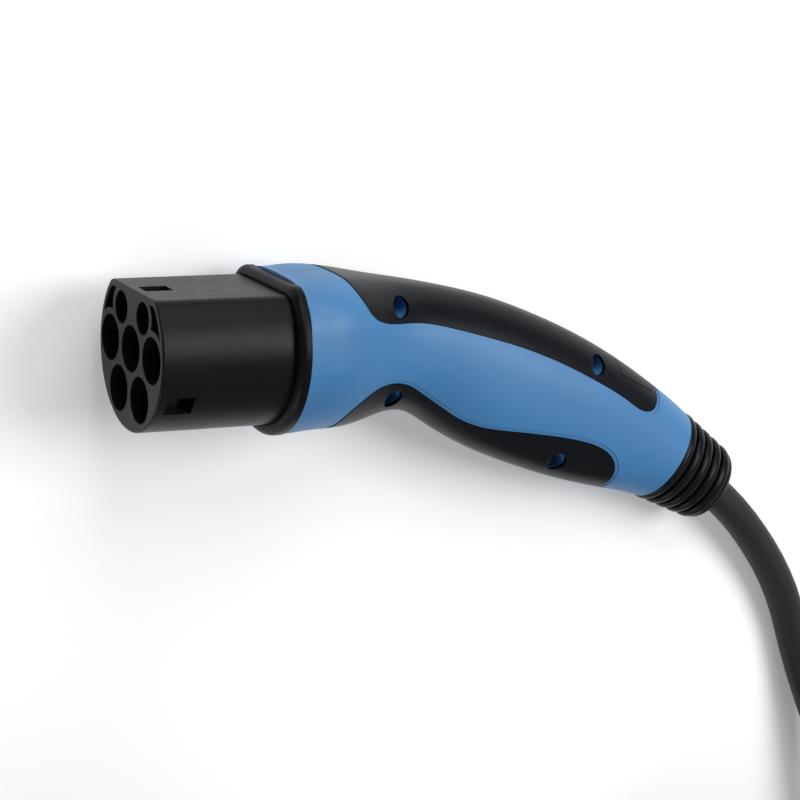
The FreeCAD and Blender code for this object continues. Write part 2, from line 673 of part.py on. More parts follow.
def cable_clamp():
    """Two saddles around the cable with the screws that pull them together."""
    front = -CLAMP_BACK - CLAMP_LENGTH
    bore = cylinder(CABLE_RADIUS + CLEAR, Vector(-HALF_SPACE, 0, 0), Vector(1, 0, 0), HALF_SPACE)
    halves = []
    for side in (-1, 1):
        low = min(side * CLAMP_SPLIT / 2, side * CLAMP_HALF_HEIGHT)
        high = max(side * CLAMP_SPLIT / 2, side * CLAMP_HALF_HEIGHT)
        block = box(Vector(front, -CLAMP_HALF_WIDTH, low), Vector(-CLAMP_BACK, CLAMP_HALF_WIDTH, high))
        halves.append(block.cut(bore))
    middle = front + CLAMP_LENGTH / 2
    reach = CABLE_RADIUS + CLEAR + CLAMP_SCREW_RADIUS + CLEAR
    screws = []
    for y in (-reach, reach):
        hole = cylinder(
            CLAMP_SCREW_RADIUS + CLEAR / 2, Vector(middle, y, -CLAMP_HALF_HEIGHT - 1), Vector(0, 0, 1),
            2 * CLAMP_HALF_HEIGHT,
        )
        halves = [half.cut(hole) for half in halves]
        screw = headed_screw(*CLAMP_SCREW_HEAD, CLAMP_SCREW_RADIUS, 2 * CLAMP_HALF_HEIGHT - 2)
        screw.rotate(Vector(0, 0, 0), Vector(0, 1, 0), -90)
        screw.translate(Vector(middle, y, -CLAMP_HALF_HEIGHT))
        screws.append(screw)
    return at_rear(halves[0]), at_rear(halves[1]), at_rear(Part.makeCompound(screws))


def sheath_end():
    start = Vector(-SHEATH_INSIDE, 0, 0)
    return at_rear(cylinder(CABLE_RADIUS, start, Vector(1, 0, 0), SHEATH_INSIDE + INSIDE_BOOT))


def bend_radii(points):
    """Radius of the arc at each inner point: as large as its two runs allow."""
    radii = []
    for before, at, after in zip(points[:-2], points[1:-1], points[2:]):
        first = at - before
        second = after - at
        turn = first.getAngle(second)
        radii.append(BEND_SHARE * min(first.Length, second.Length) / math.tan(turn / 2))
    return radii


def route_wire(points):
    """Straight runs joined by tangent arcs."""
    edges = []
    start = points[0]
    for i, radius in enumerate(bend_radii(points)):
        before, at, after = points[i : i + 3]
        into = (at - before).normalize()
        out = (after - at).normalize()
        cut = radius * math.tan(into.getAngle(out) / 2)
        leave = at - into * cut
        meet = at + out * cut
        inward = (out - into).normalize()
        centre = at + inward * math.hypot(radius, cut)
        middle = centre - inward * radius
        edges.append(Part.LineSegment(start, leave).toShape())
        edges.append(Part.Arc(leave, middle, meet).toShape())
        start = meet
    edges.append(Part.LineSegment(start, points[-1]).toShape())
    return Part.Wire(edges)


def tube_along(points, radius):
    path = route_wire(points)
    ring = Part.Wire(Part.Circle(points[0], points[1] - points[0], radius).toShape())
    return path.makePipeShell([ring], True, True)


def core(y, z, is_power, angle):
    """Insulated core from its crimp barrel to the end of the cable's sheath."""
    radius = CORE_RADIUS if is_power else PILOT_CORE_RADIUS
    circle = 0 if angle is None else CORE_CIRCLE
    turn = math.radians(angle or 0)
    side = circle * math.cos(turn)
    rise = circle * math.sin(turn)
    end = TAIL_END + CONTACT_FLANGE + BARREL_LENGTH
    sheath = rear_place().multVec(Vector(-SHEATH_INSIDE, side, rise))
    before = rear_place().multVec(Vector(-SHEATH_INSIDE - SHEATH_RUN, side, rise))
    points = [Vector(end - BARREL_DEPTH + 1, y, z), Vector(end + BARREL_EXIT, y, z)]
    back, close, height = FIRST_BEND
    spread_y, spread_z = FIRST_BEND_SPREAD
    points.append(Vector(SHELL_FRONT + back, side + spread_y * y, rise * close + height + spread_z * z))
    for back, close, height in CORE_BENDS:
        points.append(Vector(SHELL_FRONT + back, side * close, rise * close + height))
    return tube_along(points + [before, sheath], radius)


def lying_place(turn, x, y):
    """Lays a connector on its right hand side, on its collar and the first rib of its boot."""
    collar = FRONT_HALF_WIDTH + COLLAR_PROUD
    rib = FIRST_RIB_HEIGHT * BOOT_ROUNDNESS
    rib_at = SHELL_FRONT + STATIONS[-1][0] + RIB_START
    tilt = math.atan((collar - rib) / (rib_at - NOSE_LENGTH))
    height = NOSE_LENGTH * math.sin(tilt) + collar * math.cos(tilt)
    on_side = Placement(Vector(0, 0, 0), Rotation(Vector(1, 0, 0), -90))
    lean = Placement(Vector(0, 0, 0), Rotation(Vector(0, 1, 0), math.degrees(tilt)))
    spin = Placement(Vector(x, y, height), Rotation(Vector(0, 0, 1), turn))
    return spin.multiply(lean).multiply(on_side)


def laid(shape, place):
    placed = shape.copy()
    placed.Placement = place.multiply(placed.Placement)
    return placed


def plug_shroud():
    """Collar-shaped tube around the plug's pins, closed by a floor that carries them."""
    start = SHELL_FRONT - SHROUD_LENGTH
    outer = FRONT_HALF_WIDTH + COLLAR_PROUD / 2
    body = d_prism(outer, FLAT_OF_SHELL + COLLAR_PROUD / 2, SHROUD_CORNER, start, SHELL_FRONT)
    body = rounded_front(body, start, NOSE_EDGE)
    floor = SHELL_FRONT - SHROUD_FLOOR
    room = d_prism(outer - SHROUD_WALL, FLAT_OF_SHELL - SHROUD_WALL, NOSE_CORNER, start - PAST, floor)
    body = body.cut(room)
    for y, z, is_power, _ in CONTACTS.values():
        hole = pin_radius(is_power) + CLEAR / 3
        body = body.cut(cylinder(hole, Vector(start, y, z), Vector(1, 0, 0), SHROUD_LENGTH + PAST))
    return body


def plug_pins(is_power):
    """Pins with rounded tips, long enough to pass the shroud's floor."""
    start = SHELL_FRONT - SHROUD_LENGTH + PLUG_PIN_SETBACK
    radius = pin_radius(is_power)
    pins = []
    for y, z, power, _ in CONTACTS.values():
        if power == is_power:
            pin = cylinder(radius, Vector(start, y, z), Vector(1, 0, 0), SHELL_FRONT - start)
            tip = [e for e in pin.Edges if e.BoundBox.XMax < start + 0.01]
            pins.append(pin.makeFillet(radius * PIN_TIP, tip))
    return Part.makeCompound(pins)


def plug_handle(outer):
    """Solid halves and grips of the plug's handle."""
    seat_floor = handle_solid(GRIP_DEPTH + CLEAR)
    body = outer
    for name in GRIPS:
        body = body.cut(grip_region(name, GRIP_GAP).cut(seat_floor))
    body = body.cut(at_rear(boot_neck(CLEAR, -LIP - BOOT_FLANGE - CLEAR, 2)))
    body = body.cut(at_rear(boot_neck(BOOT_FLANGE_STEP + CLEAR, -LIP - BOOT_FLANGE - CLEAR, -LIP)))
    bore = cylinder(CABLE_RADIUS + CLEAR, Vector(-SHEATH_INSIDE, 0, 0), Vector(1, 0, 0), HALF_SPACE)
    body = body.cut(at_rear(bore))
    return body.common(side_space(-1)), body.common(side_space(1))


def coil_radius(column):
    return COIL_MIDDLE_RADIUS + (column - (COIL_COLUMNS - 1) / 2) * 2 * CABLE_RADIUS


def coil_point(angle, radius, height):
    turn = math.radians(angle)
    return Vector(COIL_CENTRE[0] + radius * math.cos(turn), COIL_CENTRE[1] + radius * math.sin(turn), height)


def coil_heading(angle):
    turn = math.radians(angle)
    return Vector(math.sin(turn), -math.cos(turn), 0)


def coil_ends():
    """Where the cable enters the coil and leaves it: place and direction of travel."""
    outside = coil_radius(COIL_COLUMNS - 1)
    bottom = TIE_THICKNESS + CABLE_RADIUS
    above = bottom + 2 * CABLE_RADIUS
    rising = coil_heading(COIL_OUT_ANGLE) + Vector(0, 0, COIL_RISE)
    return (
        (coil_point(COIL_IN_ANGLE, outside, above), coil_heading(COIL_IN_ANGLE)),
        (coil_point(COIL_OUT_ANGLE, outside, bottom), rising.normalize()),
    )


def coil_bundle(spread):
    """Inner and outer radius of the bundle of turns, its underside and its top."""
    inner = coil_radius(0) - CABLE_RADIUS - spread
    outer = coil_radius(COIL_COLUMNS - 1) + CABLE_RADIUS + spread
    low = TIE_THICKNESS - spread
    return inner, outer, low, TIE_THICKNESS + 2 * CABLE_RADIUS * COIL_LAYERS + spread


def cable_coil():
    """Outer shape of the wound cable, with a short straight piece where each end leaves it."""
    inner, outer, low, high = coil_bundle(0)
    middle = Vector(*COIL_CENTRE, low)
    ring = Part.makeCylinder(outer, high - low, middle).cut(Part.makeCylinder(inner, high - low, middle))
    rims = [e for e in ring.Edges if e.Curve.TypeId == "Part::GeomCircle"]
    ring = ring.makeFillet(CABLE_RADIUS * COIL_ROUNDING, rims)
    (come, going_in), (leave, going_out) = coil_ends()
    stub_in = cylinder(CABLE_RADIUS, come - going_in * COIL_STUB, going_in, COIL_STUB)
    stub_out = cylinder(CABLE_RADIUS, leave, going_out, COIL_STUB)
    return joined([ring, stub_in, stub_out])


def coil_ties():
    """Straps around the bundle of turns: the coil rests on them."""
    inner, outer, low, high = coil_bundle(0)
    room = CLEAR + TIE_WIDTH * TIE_WIDTH / 8 / inner
    straps = []
    for angle in TIE_ANGLES:
        around = box(
            Vector(inner - room - TIE_THICKNESS, -TIE_WIDTH / 2, 0),
            Vector(outer + CLEAR + TIE_THICKNESS, TIE_WIDTH / 2, high + CLEAR + TIE_THICKNESS),
        )
        bundle = box(Vector(inner - room, -TIE_WIDTH, low), Vector(outer + CLEAR, TIE_WIDTH, high + CLEAR))
        rounded = []
        for block in (around, bundle):
            corners = [e for e in block.Edges if abs(e.tangentAt(e.FirstParameter).y) > 0.9]
            rounded.append(block.makeFillet(TIE_CORNER, corners))
        strap = rounded[0].cut(rounded[1])
        strap.rotate(Vector(0, 0, 0), Vector(0, 0, 1), angle)
        strap.translate(Vector(*COIL_CENTRE, 0))
        straps.append(strap)
    return Part.makeCompound(straps)


def out_of_boot(place, bend):
    """Where the cable's own solid starts inside a boot, and the first bend on the boot's axis."""
    return [place.multVec(rear_place().multVec(Vector(back, 0, 0))) for back in (INSIDE_BOOT, bend)]


def cable_routes(connector, plug):
    (come, going_in), (leave, going_out) = coil_ends()
    end = come - going_in * COIL_STUB
    lead = out_of_boot(connector, LEAD_BEND) + [Vector(*p) for p in LEAD_POINTS]
    lead += [end - going_in * LEAD_RUN, end]
    tail = [leave + going_out * COIL_STUB] + out_of_boot(plug, TAIL_BEND)[::-1]
    return lead, tail


def report_route(name, points):
    path = route_wire(points)
    runs = [round((b - a).Length, 1) for a, b in zip(points[:-1], points[1:])]
    print(name, "length", round(path.Length, 1), "runs", runs)
    print(name, "radii", [round(r, 1) for r in bend_radii(points)])
    print(name, "points", [tuple(round(c, 2) for c in p) for p in points])
    return path.Length


def connector_pieces(outer):
    left, right = handle_halves(outer)
    clamp_low, clamp_high, clamp_screws = cable_clamp()
    pieces = {
        "nose_housing": nose_housing(),
        "front_collar": front_collar(),
        "contact_retainer": contact_retainer(),
        "retainer_screws": retainer_screws(),
        "coding_resistor": coding_resistor(),
        "shell_left": left,
        "shell_right": right,
        "shell_screws": handle_screws(),
        "boot": boot(),
        "cable_clamp_lower": clamp_low,
        "cable_clamp_upper": clamp_high,
        "cable_clamp_screws": clamp_screws,
        "cable_sheath_end": sheath_end(),
    }
    for name, (y, z, is_power, angle) in CONTACTS.items():
        pieces["contact_" + name] = socket_contact(y, z, is_power)
        if name != "proximity":
            pieces["core_" + name] = core(y, z, is_power, angle)
    pieces.update(grips(outer))
    return pieces


def plug_pieces(outer):
    left, right = plug_handle(outer)
    pieces = {
        "plug_shroud": plug_shroud(),
        "plug_power_pins": plug_pins(True),
        "plug_signal_pins": plug_pins(False),
        "plug_shell_left": left,
        "plug_shell_right": right,
        "plug_boot": boot(),
        "plug_sheath_end": sheath_end(),
    }
    for name, piece in grips(outer).items():
        pieces["plug_" + name] = piece
    return pieces


def main():
    outer = handle_solid(0)
    connector = lying_place(*LYING_CONNECTOR)
    plug = lying_place(*LYING_PLUG)
    lead, tail = cable_routes(connector, plug)
    pieces = {name: laid(shape, connector) for name, shape in connector_pieces(outer).items()}
    pieces.update({name: laid(shape, plug) for name, shape in plug_pieces(outer).items()})
    pieces["cable_lead"] = tube_along(lead, CABLE_RADIUS)
    pieces["cable_coil"] = cable_coil()
    pieces["cable_tail"] = tube_along(tail, CABLE_RADIUS)
    pieces["coil_ties"] = coil_ties()
    for name, points in (("cable_lead", lead), ("cable_tail", tail)):
        length = report_route(name, points)
        section = math.pi * CABLE_RADIUS**2
        print(name, "volume over section times length", round(pieces[name].Volume / section / length, 4))
    for name, shape in pieces.items():
        shape.exportStep("parts/" + name + ".step")
        solids = len(shape.Solids)
        print(name, "solids", solids, "valid", shape.isValid(), "volume", round(shape.Volume))


main()
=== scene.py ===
import math

import bpy
from bpy.props import FloatProperty, FloatVectorProperty, IntProperty, PointerProperty
from mathutils import Matrix, Vector


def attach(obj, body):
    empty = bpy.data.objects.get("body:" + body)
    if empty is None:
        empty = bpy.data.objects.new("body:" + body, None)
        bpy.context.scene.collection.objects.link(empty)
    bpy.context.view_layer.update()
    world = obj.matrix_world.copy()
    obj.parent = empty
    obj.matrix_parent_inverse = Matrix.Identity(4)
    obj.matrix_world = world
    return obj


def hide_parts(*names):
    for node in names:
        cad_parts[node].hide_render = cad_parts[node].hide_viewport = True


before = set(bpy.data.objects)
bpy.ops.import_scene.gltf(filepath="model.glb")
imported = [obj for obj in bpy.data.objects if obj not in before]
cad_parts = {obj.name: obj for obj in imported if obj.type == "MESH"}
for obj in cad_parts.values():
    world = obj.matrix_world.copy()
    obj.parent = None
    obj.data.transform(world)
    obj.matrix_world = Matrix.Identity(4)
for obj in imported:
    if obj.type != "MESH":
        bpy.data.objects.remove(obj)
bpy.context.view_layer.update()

bl_info = {
    "name": "Electric car charging cable",
    "version": (1, 0, 0),
    "blender": (4, 5, 0),
    "location": "3D View > Sidebar > Charging cable",
    "description": "Dresses a charging connector, its cable wound in a coil, and the plug at the far end",
    "category": "Object",
}

# Lengths are in metres. The cable's route: out of the connector's boot and along the floor to the coil
LEAD = [
    (0.09765, -0.02797, 0.01407),
    (0.11641, -0.03930, 0.01209),
    (0.13680, -0.05880, 0.00860),
    (0.15420, -0.08350, 0.00690),
    (0.16540, -0.11620, 0.00650),
    (0.18258, -0.16431, 0.02100),
    (0.18936, -0.19147, 0.02100),
]
# From the coil into the plug's boot
TAIL = [
    (0.04135, -0.30112, 0.01131),
    (0.02670, -0.29229, 0.01245),
    (0.01135, -0.28302, 0.01407),
]
CABLE_DIAMETER = 0.013
# Steps of the drawn curve from one point of the route to the next
CURVE_STEPS = 4

# Coil, wound clockwise as seen from above. Angles are in degrees, and travel is the angle gone round
COIL_CENTRE = (0.1248, -0.2591)
COIL_MIDDLE_RADIUS = 0.066
COIL_FLOOR = 0.0015
COIL_IN_ANGLE = 14.0
COIL_END_TRAVEL = 11 * 360 + 135
COIL_POINT_STEP = 15
MIDDLE_COLUMN = 1
# In each turn the cable lies in one cell (column, layer) of the bundle, and between the two angles of that
# turn it shifts to the next cell
CELLS = [
    (2, 1), (1, 1), (1, 2), (2, 2), (2, 3), (1, 3), (0, 3), (0, 2), (0, 1), (0, 0), (1, 0), (2, 0),
]
SHIFTS = [
    (303, 360), (275, 335), (247, 307), (219, 279), (191, 251), (191, 251), (163, 223), (163, 223),
    (163, 223), (135, 195), (135, 195),
]

# Camera of the product picture: its place, directions ahead and upwards, and its sensor in millimetres
CAMERA_PLACE = (-0.3558, 0.2203, 0.8556)
CAMERA_AHEAD = (0.3657, -0.2360, -0.9003)
CAMERA_UP = (0.0308, 0.9698, -0.2418)
SENSOR_WIDTH = 36.0
NEAREST_SEEN = 0.01

# Round soft lamps: name, place, the point that it faces, width across, and power in watts
LAMPS = [
    ("Lamp over the flat", (0.1, 1.3, 0.95), (0.0, 0.0, 0.03), 1.0, 12),
    ("Lamp overhead", (0.76, 0.36, 1.13), (0.0, 0.0, 0.0), 0.8, 13),
    ("Lamp below", (-0.7, -1.4, 0.5), (0.0, 0.0, 0.0), 1.2, 8),
]
SKY_STRENGTH = 0.3
FLOOR_HALF_WIDTH = 6.0
FLOOR_GLOW = 0.2

# Colours of the small and the hidden pieces
STRAP_BLACK = (0.009, 0.009, 0.01)
DUST_GREY = (0.16, 0.155, 0.15)
SILVER = (0.78, 0.76, 0.71)
ZINC = (0.3, 0.3, 0.31)
INNER_GREY = (0.03, 0.03, 0.032)
RESISTOR_BLUE = (0.25, 0.4, 0.5)
INSULATION = {
    "core_line_1": ("core_brown", (0.13, 0.05, 0.02)),
    "core_line_2": ("core_black", (0.012, 0.012, 0.012)),
    "core_line_3": ("core_grey", (0.2, 0.2, 0.2)),
    "core_neutral": ("core_blue", (0.03, 0.12, 0.45)),
    "core_earth": ("core_green", (0.1, 0.35, 0.05)),
    "core_pilot": ("core_white", (0.7, 0.7, 0.66)),
}
# Shade of the collar against the nose, and grain of the handles and the boots against that of the grips
COLLAR_SHADE = 0.55
HANDLE_GRAIN = 1.4
BOOT_GRAIN = 2


class CableSizes(bpy.types.PropertyGroup):
    """Sizes of the cable that can be changed."""

    cable_length: FloatProperty(
        name="Cable length", description="Whole length of the cable between its two boots",
        default=5.0, min=1.0, subtype="DISTANCE", unit="LENGTH",
    )
    jacket_segments: IntProperty(
        name="Jacket segments", description="How finely each quarter of the cable's jacket is divided",
        default=5, min=2, max=12,
    )
    grain_size: FloatProperty(
        name="Grain size", description="Size of the moulded grain on plastic and rubber",
        default=0.0005, min=0.0001, subtype="DISTANCE", unit="LENGTH", precision=5,
    )


class CableColours(bpy.types.PropertyGroup):
    """Colours of the cable's finishes."""

    handle_blue: FloatVectorProperty(
        name="Handle", description="Satin plastic of the handle's two halves", subtype="COLOR",
        default=(0.037, 0.16, 0.355), min=0, max=1,
    )
    nose_black: FloatVectorProperty(
        name="Nose", description="Moulded plastic of the nose and its collar", subtype="COLOR",
        default=(0.005, 0.005, 0.0061), min=0, max=1,
    )
    grip_black: FloatVectorProperty(
        name="Grips", description="Soft rubber of the grips", subtype="COLOR",
        default=(0.0038, 0.0044, 0.0064), min=0, max=1,
    )
    boot_black: FloatVectorProperty(
        name="Boot", description="Rubber of the ribbed boot", subtype="COLOR",
        default=(0.005, 0.0056, 0.0076), min=0, max=1,
    )
    jacket_grey: FloatVectorProperty(
        name="Cable jacket", description="Jacket of the cable", subtype="COLOR",
        default=(0.014, 0.0145, 0.0175), min=0, max=1,
    )
    floor_white: FloatVectorProperty(
        name="Floor", description="Studio floor", subtype="COLOR",
        default=(0.87, 0.87, 0.87), min=0, max=1,
    )


class StudioSettings(bpy.types.PropertyGroup):
    """Camera and light."""

    focal_length: FloatProperty(
        name="Focal length", description="Lens of the camera in millimetres", subtype="DISTANCE_CAMERA",
        default=118.4, min=10,
    )
    light_strength: FloatProperty(
        name="Light", description="Brightness of the lamps against their usual power",
        default=1.0, min=0,
    )


class Channel:
    """A node's output, with which sums and products can be written."""

    def __init__(self, finish, socket):
        self.finish = finish
        self.socket = socket

    def combined(self, operation, first, second):
        """Adds the Math node of an operation on two values."""
        return self.finish.node("ShaderNodeMath", {"operation": operation}, {0: first, 1: second})

    def __add__(self, other):
        return self.combined("ADD", self, other)

    def __radd__(self, other):
        return self.combined("ADD", other, self)

    def __sub__(self, other):
        return self.combined("SUBTRACT", self, other)

    def __rsub__(self, other):
        return self.combined("SUBTRACT", other, self)

    def __mul__(self, other):
        return self.combined("MULTIPLY", self, other)

    def __rmul__(self, other):
        return self.combined("MULTIPLY", other, self)


class Finish:
    """A material built node by node."""

    def __init__(self, name):
        self.material = bpy.data.materials.new(name)
        self.material.use_nodes = True
        self.tree = self.material.node_tree
        self.tree.nodes.clear()
        self.place = self.node("ShaderNodeTexCoord", output="Object")

    def node(self, kind, settings=None, inputs=None, output=0):
        """Adds a node, its settings first, then the values or links of its sockets; gives its output."""
        node = self.tree.nodes.new(kind)
        for name, value in (settings or {}).items():
            if name == "stops":
                set_stops(node.color_ramp, value)
            else:
                setattr(node, name, value)
        for name, value in (inputs or {}).items():
            self.feed(node.inputs[name], value)
        return Channel(self, node.outputs[output]) if node.outputs else None

    def feed(self, socket, value):
        """Links a socket to another node's output, or sets its value."""
        if isinstance(value, Channel):
            self.tree.links.new(value.socket, socket)
        else:
            socket.default_value = value

    def noise(self, size, detail, roughness=0.5, stretch=(1, 1, 1)):
        """Noise from 0 to 1 whose spots are about size metres across."""
        scale = tuple(amount / size for amount in stretch)
        place = self.node("ShaderNodeVectorMath", {"operation": "MULTIPLY"}, {0: self.place, 1: scale})
        return self.node(
            "ShaderNodeTexNoise", {"noise_dimensions": "3D"},
            {"Vector": place, "Scale": 1.0, "Detail": detail, "Roughness": roughness},
        )

    def ramp(self, value, stops):
        """Spreads part of a value's range, given by two stops, each a place and a grey value."""
        return self.node("ShaderNodeValToRGB", {"stops": stops}, {0: value})

    def mix(self, amount, first, second):
        """Mixes two colours, the second by that amount."""
        inputs = {0: amount, 6: opaque(first), 7: opaque(second)}
        return self.node("ShaderNodeMix", {"data_type": "RGBA"}, inputs, output=2)

    def bump(self, height, depth):
        """Relief of that depth in metres."""
        return self.node("ShaderNodeBump", None, {"Height": height, "Distance": depth, "Strength": 1.0})

    def surface(self, **sockets):
        """Closes the material with a shader, whose socket names are written with underscores."""
        inputs = {name.replace("_", " "): value for name, value in sockets.items()}
        shader = self.node("ShaderNodeBsdfPrincipled", None, inputs)
        self.node("ShaderNodeOutputMaterial", None, {"Surface": shader})
        return self.material


def set_stops(ramp, stops):
    """Sets a ramp's two stops, each a place and a grey value."""
    for element, (place, value) in zip(ramp.elements, stops):
        element.position = place
        element.color = (value, value, value, 1)


def opaque(colour):
    """The colour as a socket takes it, or the output that gives it."""
    if isinstance(colour, Channel):
        return colour
    return (*colour[:3], 1.0)


def tinted(colour, amount):
    """The colour, lighter where amount is over 1 and darker below."""
    return tuple(min(part * amount, 1.0) for part in colour)


def moulded_plastic(name, colour, roughness, grain, depth, specular=0.5):
    """Moulded plastic: a fine grain, slow changes of tone and gloss, and traces of handling."""
    f = Finish(name)
    fine = f.noise(size=grain, detail=3.0)
    slow = f.noise(size=0.03, detail=2.0)
    handled = f.ramp(f.noise(size=0.012, detail=4.0), stops=[(0.42, 0.0), (0.7, 1.0)])
    shade = f.mix(slow, tinted(colour, 0.92), tinted(colour, 1.1))
    gloss = roughness + 0.05 * (slow - 0.5) - 0.05 * handled + 0.04 * (fine - 0.5)
    return f.surface(
        Base_Color=shade, Roughness=gloss, Specular_IOR_Level=specular, Normal=f.bump(fine, depth),
    )


def soft_rubber(name, colour, roughness, grain, depth, specular):
    """Soft rubber: a fine uneven grain with specks of dust in it."""
    f = Finish(name)
    fine = f.noise(size=grain, detail=4.0, roughness=0.6)
    slow = f.noise(size=0.02, detail=3.0)
    dust = f.ramp(f.noise(size=0.0011, detail=2.0), stops=[(0.66, 0.0), (0.8, 1.0)])
    shade = f.mix(slow, tinted(colour, 0.85), tinted(colour, 1.2))
    shade = f.mix(0.04 * dust, shade, DUST_GREY)
    gloss = roughness + 0.08 * (slow - 0.5) + 0.06 * (fine - 0.5)
    return f.surface(
        Base_Color=shade, Roughness=gloss, Specular_IOR_Level=specular, Normal=f.bump(fine, depth),
    )


def jacket(name, colour):
    """Extruded cable jacket: matte, with slow changes of tone and small pale scuffs."""
    f = Finish(name)
    fine = f.noise(size=0.0006, detail=3.0)
    slow = f.noise(size=0.025, detail=2.0)
    scuff = f.ramp(f.noise(size=0.004, detail=5.0, roughness=0.7), stops=[(0.56, 0.0), (0.72, 1.0)])
    shade = f.mix(slow, tinted(colour, 0.88), tinted(colour, 1.12))
    shade = f.mix(0.18 * scuff, shade, tinted(colour, 1.8))
    gloss = 0.5 + 0.08 * (slow - 0.5) + 0.08 * scuff
    return f.surface(
        Base_Color=shade, Roughness=gloss, Specular_IOR_Level=0.25, Normal=f.bump(fine, depth=0.00003),
    )


def plated_metal(name, colour, roughness):
    """Turned and plated metal: fine turning marks and a little tarnish."""
    f = Finish(name)
    marks = f.noise(size=0.0002, detail=1.0, stretch=(1, 0.02, 0.02))
    stain = f.noise(size=0.002, detail=3.0)
    shade = f.mix(stain, tinted(colour, 0.8), tinted(colour, 1.05))
    gloss = roughness + 0.12 * (stain - 0.5) + 0.08 * (marks - 0.5)
    return f.surface(
        Base_Color=shade, Metallic=1.0, Roughness=gloss, Normal=f.bump(marks, depth=0.00001),
    )


def woven_strap(name, colour):
    """Woven hook-and-loop strap: fine level threads, and fuzz between them."""
    f = Finish(name)
    warp = f.node(
        "ShaderNodeTexWave", {"wave_type": "BANDS", "bands_direction": "Z"},
        {"Vector": f.place, "Scale": 900.0, "Distortion": 0.6, "Detail": 1.0, "Detail Scale": 2.0}, output=1,
    )
    fuzz = f.noise(size=0.0004, detail=4.0, roughness=0.7)
    shade = f.mix(warp * fuzz, tinted(colour, 0.7), tinted(colour, 1.9))
    return f.surface(
        Base_Color=shade, Roughness=0.85 + 0.1 * (fuzz - 0.5), Specular_IOR_Level=0.2, Sheen_Weight=0.12,
        Normal=f.bump(warp + fuzz, depth=0.0002),
    )


def floor_paint(name, colour):
    """Matte floor with hardly visible changes of tone and a faint glow."""
    f = Finish(name)
    slow = f.noise(size=0.4, detail=1.0)
    return f.surface(
        Base_Color=f.mix(slow, tinted(colour, 0.99), tinted(colour, 1.01)), Roughness=0.75,
        Specular_IOR_Level=0.2, Emission_Color=opaque(colour), Emission_Strength=FLOOR_GLOW,
    )


def dress(names, finish):
    """Gives the solids of those names their finish."""
    for name in names:
        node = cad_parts[name]
        node.data.materials.clear()
        node.data.materials.append(finish)


def named(start):
    """Names of the solids that begin so."""
    return sorted(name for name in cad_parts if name.startswith(start))


def colours():
    """The colours set in the panel."""
    return bpy.context.scene.charging_colours


def sizes():
    """The sizes set in the panel."""
    return bpy.context.scene.charging_sizes


def coil_cell(travel):
    """Column and layer of the cable after that many degrees round the coil."""
    column, layer = CELLS[0]
    for turn, (start, end) in enumerate(SHIFTS):
        done = min(max((travel - 360 * turn - start) / (end - start), 0.0), 1.0)
        eased = (1 - math.cos(math.pi * done)) / 2
        column += eased * (CELLS[turn + 1][0] - CELLS[turn][0])
        layer += eased * (CELLS[turn + 1][1] - CELLS[turn][1])
    return column, layer


def coil_points():
    """Control points of the coil's turns, set out a little wider because the curve runs inside them."""
    points = []
    widened = 1 / (0.75 + 0.25 * math.cos(math.radians(COIL_POINT_STEP)))
    for travel in range(0, COIL_END_TRAVEL + 1, COIL_POINT_STEP):
        column, layer = coil_cell(travel)
        radius = (COIL_MIDDLE_RADIUS + (column - MIDDLE_COLUMN) * CABLE_DIAMETER) * widened
        angle = math.radians(COIL_IN_ANGLE - travel)
        points.append((
            COIL_CENTRE[0] + radius * math.cos(angle),
            COIL_CENTRE[1] + radius * math.sin(angle),
            COIL_FLOOR + (layer + 0.5) * CABLE_DIAMETER,
        ))
    return points


class CHARGING_OT_stage(bpy.types.Operator):
    """Adds the camera, the pale floor and the soft lamps"""

    bl_idname = "charging.stage"
    bl_label = "Stage"

    def execute(self, context):
        self.camera(context)
        self.floor(context)
        for lamp in LAMPS:
            self.lamp(context, *lamp)
        self.sky(context)
        return {"FINISHED"}

    def camera(self, context):
        """Adds the camera of the product picture."""
        lens = bpy.data.cameras.new("Product camera")
        lens.sensor_width = SENSOR_WIDTH
        lens.lens = context.scene.charging_studio.focal_length
        lens.clip_start = NEAREST_SEEN
        camera = bpy.data.objects.new("Product camera", lens)
        ahead = Vector(CAMERA_AHEAD).normalized()
        right = ahead.cross(Vector(CAMERA_UP)).normalized()
        up = right.cross(ahead)
        turn = Matrix((right, up, -ahead)).transposed().to_4x4()
        camera.matrix_world = Matrix.Translation(Vector(CAMERA_PLACE)) @ turn
        context.scene.collection.objects.link(camera)
        context.scene.camera = camera

    def floor(self, context):
        """Adds the pale floor."""
        mesh = bpy.data.meshes.new("Studio floor")
        half = FLOOR_HALF_WIDTH
        corners = [(-half, -half, 0), (half, -half, 0), (half, half, 0), (-half, half, 0)]
        mesh.from_pydata(corners, [], [(0, 1, 2, 3)])
        floor = bpy.data.objects.new("Studio floor", mesh)
        context.scene.collection.objects.link(floor)
        mesh.materials.append(floor_paint("Floor paint", colours().floor_white))

    def lamp(self, context, name, place, target, size, power):
        """Adds a round lamp that faces its target."""
        light = bpy.data.lights.new(name, "AREA")
        light.shape = "DISK"
        light.size = size
        light.energy = power * context.scene.charging_studio.light_strength
        lamp = bpy.data.objects.new(name, light)
        away = Vector(place) - Vector(target)
        turn = away.to_track_quat("Z", "Y").to_matrix().to_4x4()
        lamp.matrix_world = Matrix.Translation(Vector(place)) @ turn
        context.scene.collection.objects.link(lamp)

    def sky(self, context):
        """Adds the weak white light from all round, and shows colours without a film curve."""
        world = bpy.data.worlds.new("Studio air")
        world.use_nodes = True
        background = world.node_tree.nodes["Background"]
        background.inputs["Color"].default_value = (1, 1, 1, 1)
        background.inputs["Strength"].default_value = SKY_STRENGTH
        context.scene.world = world
        context.scene.view_settings.view_transform = "Standard"


